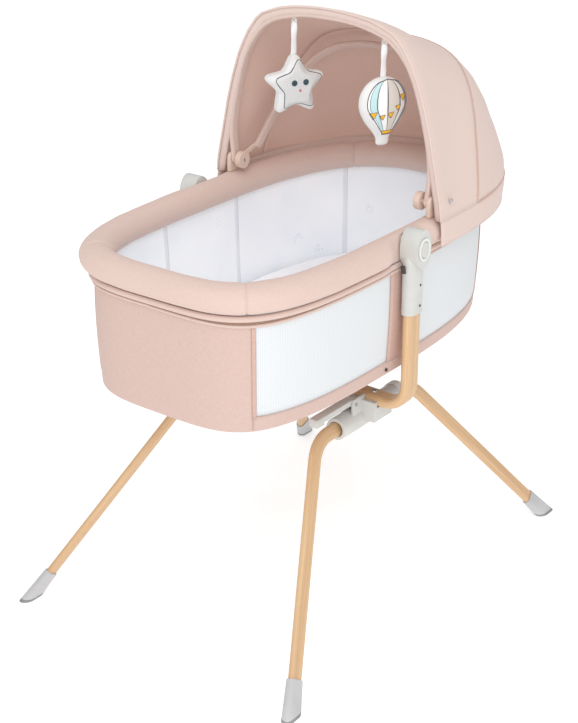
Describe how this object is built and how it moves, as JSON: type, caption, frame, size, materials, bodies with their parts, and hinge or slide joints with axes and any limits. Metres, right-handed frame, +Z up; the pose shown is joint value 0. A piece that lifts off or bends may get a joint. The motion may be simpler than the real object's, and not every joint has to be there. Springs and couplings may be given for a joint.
{
  "type": "bassinet on stand",
  "caption": "Rocking bassinet with padded rim, mesh sides and folding hood with two hanging toys, hung between two posts on folding splayed legs.",
  "frame": {"origin": "on the floor, at the middle of the object's length and width", "axes": "+Z up, +X towards the hooded head end, -Y is the side with the swing lock lever"},
  "size_m": [0.9192, 0.6296, 1.047],
  "materials": {
    "wood_look_tube": "steel tube with a satin light wood-grain film",
    "grey_plastic": "moulded warm grey plastic, fine matt texture",
    "pale_plastic": "moulded near-white plastic",
    "sole_rubber": "dark grey rubber and small black press studs",
    "steel": "plain steel",
    "pink_cloth": "powder pink melange polyester cloth",
    "white_cloth": "white cotton, mesh and plush",
    "cream_plastic": "cream-pink moulded plastic",
    "board": "stiff base board inside the cloth floor"
  },
  "bodies": {
    "stand": {"rocking_frame_tube": "wood_look_tube", "lever_pin": "steel", "near_hub": "grey_plastic", "near_inner_saddle_screw": "steel", "near_outer_saddle_screw": "steel", "near_pivot_head": "grey_plastic", "near_head_ring": "pale_plastic", "far_hub": "grey_plastic", "far_inner_saddle_screw": "steel", "far_outer_saddle_screw": "steel", "far_pivot_head": "grey_plastic", "far_head_ring": "pale_plastic"},
    "near_legs": {"near_leg_tube": "wood_look_tube", "near_foot_foot_cap": "grey_plastic", "near_foot_foot_sole": "sole_rubber", "near_head_foot_cap": "grey_plastic", "near_head_foot_sole": "sole_rubber"},
    "far_legs": {"far_leg_tube": "wood_look_tube", "far_foot_foot_cap": "grey_plastic", "far_foot_foot_sole": "sole_rubber", "far_head_foot_cap": "grey_plastic", "far_head_foot_sole": "sole_rubber"},
    "near_release": {"near_fold_release": "pale_plastic"},
    "far_release": {"far_fold_release": "pale_plastic"},
    "near_button": {"near_release_button": "grey_plastic"},
    "far_button": {"far_release_button": "grey_plastic"},
    "lock_lever": {"swing_lock_lever": "grey_plastic"},
    "basket": {"rim_tube": "steel", "rim_padding": "pink_cloth", "basket_body": "pink_cloth", "zip_band": "pink_cloth", "base_board": "board", "mattress": "white_cloth", "hood_rear_cloth": "pink_cloth", "near_foot_stud": "sole_rubber", "near_head_stud": "sole_rubber", "near_hanger_bracket": "grey_plastic", "near_swing_axle": "steel", "near_hood_clip": "cream_plastic", "near_hood_knob": "cream_plastic", "far_foot_stud": "sole_rubber", "far_head_stud": "sole_rubber", "far_hanger_bracket": "grey_plastic", "far_swing_axle": "steel", "far_hood_clip": "cream_plastic", "far_hood_knob": "cream_plastic"},
    "hood_mid": {"hood_mid_bow": "steel"},
    "hood_front": {"hood_front_bow": "steel", "hood_front_cloth": "pink_cloth"},
    "star": {"star_strap": "white_cloth", "star_toy": "white_cloth"},
    "balloon": {"balloon_strap": "white_cloth", "balloon_toy": "white_cloth"}
  },
  "joints": [
    {"name": "near_legs_fold", "type": "hinge", "parent": "stand", "child": "near_legs", "pos_m": [-0.00736, -0.147, 0.35], "axis": [1, 0, 0], "range_deg": [0, 114]},
    {"name": "far_legs_fold", "type": "hinge", "parent": "stand", "child": "far_legs", "pos_m": [-0.00736, 0.147, 0.35], "axis": [-1, 0, 0], "range_deg": [0, 102]},
    {"name": "near_release_slide", "type": "slide", "parent": "stand", "child": "near_release", "axis": [1, 0, 0], "range_m": [0, 0.004], "stiffness_N_per_m": 500},
    {"name": "far_release_slide", "type": "slide", "parent": "stand", "child": "far_release", "axis": [1, 0, 0], "range_m": [0, 0.004], "stiffness_N_per_m": 500},
    {"name": "near_button_press", "type": "slide", "parent": "stand", "child": "near_button", "axis": [0, 1, 0], "range_m": [0, 0.003], "stiffness_N_per_m": 600},
    {"name": "far_button_press", "type": "slide", "parent": "stand", "child": "far_button", "axis": [0, -1, 0], "range_m": [0, 0.003], "stiffness_N_per_m": 600},
    {"name": "lock_lever_lift", "type": "hinge", "parent": "stand", "child": "lock_lever", "pos_m": [-0.05336, -0.147, 0.386], "axis": [0, 1, 0], "range_deg": [0, 10]},
    {"name": "basket_swing", "type": "hinge", "parent": "stand", "child": "basket", "pos_m": [-0.00736, 0, 0.687], "axis": [0, 1, 0], "range_deg": [-9, 9]},
    {"name": "hood_fold", "type": "hinge", "parent": "basket", "child": "hood_mid", "pos_m": [0.07664, 0, 0.739], "axis": [0, 1, 0], "range_deg": [0, 28], "deforming": ["hood_rear_cloth"]},
    {"name": "hood_front_fold", "type": "hinge", "parent": "hood_mid", "child": "hood_front", "pos_m": [0.07664, 0, 0.739], "axis": [0, 1, 0], "range_deg": [0, 32], "deforming": ["hood_front_cloth"]},
    {"name": "star_swing", "type": "hinge", "parent": "hood_front", "child": "star", "pos_m": [0.07664, 0.077, 1.0225], "axis": [0, 1, 0], "range_deg": [-25, 25]},
    {"name": "balloon_swing", "type": "hinge", "parent": "hood_front", "child": "balloon", "pos_m": [0.07664, -0.114, 1.008], "axis": [0, 1, 0], "range_deg": [-25, 25]}
  ],
  "couplings": [
    {"joint": "hood_front_fold", "follows": "hood_fold", "ratio": 1.14}
  ]
}
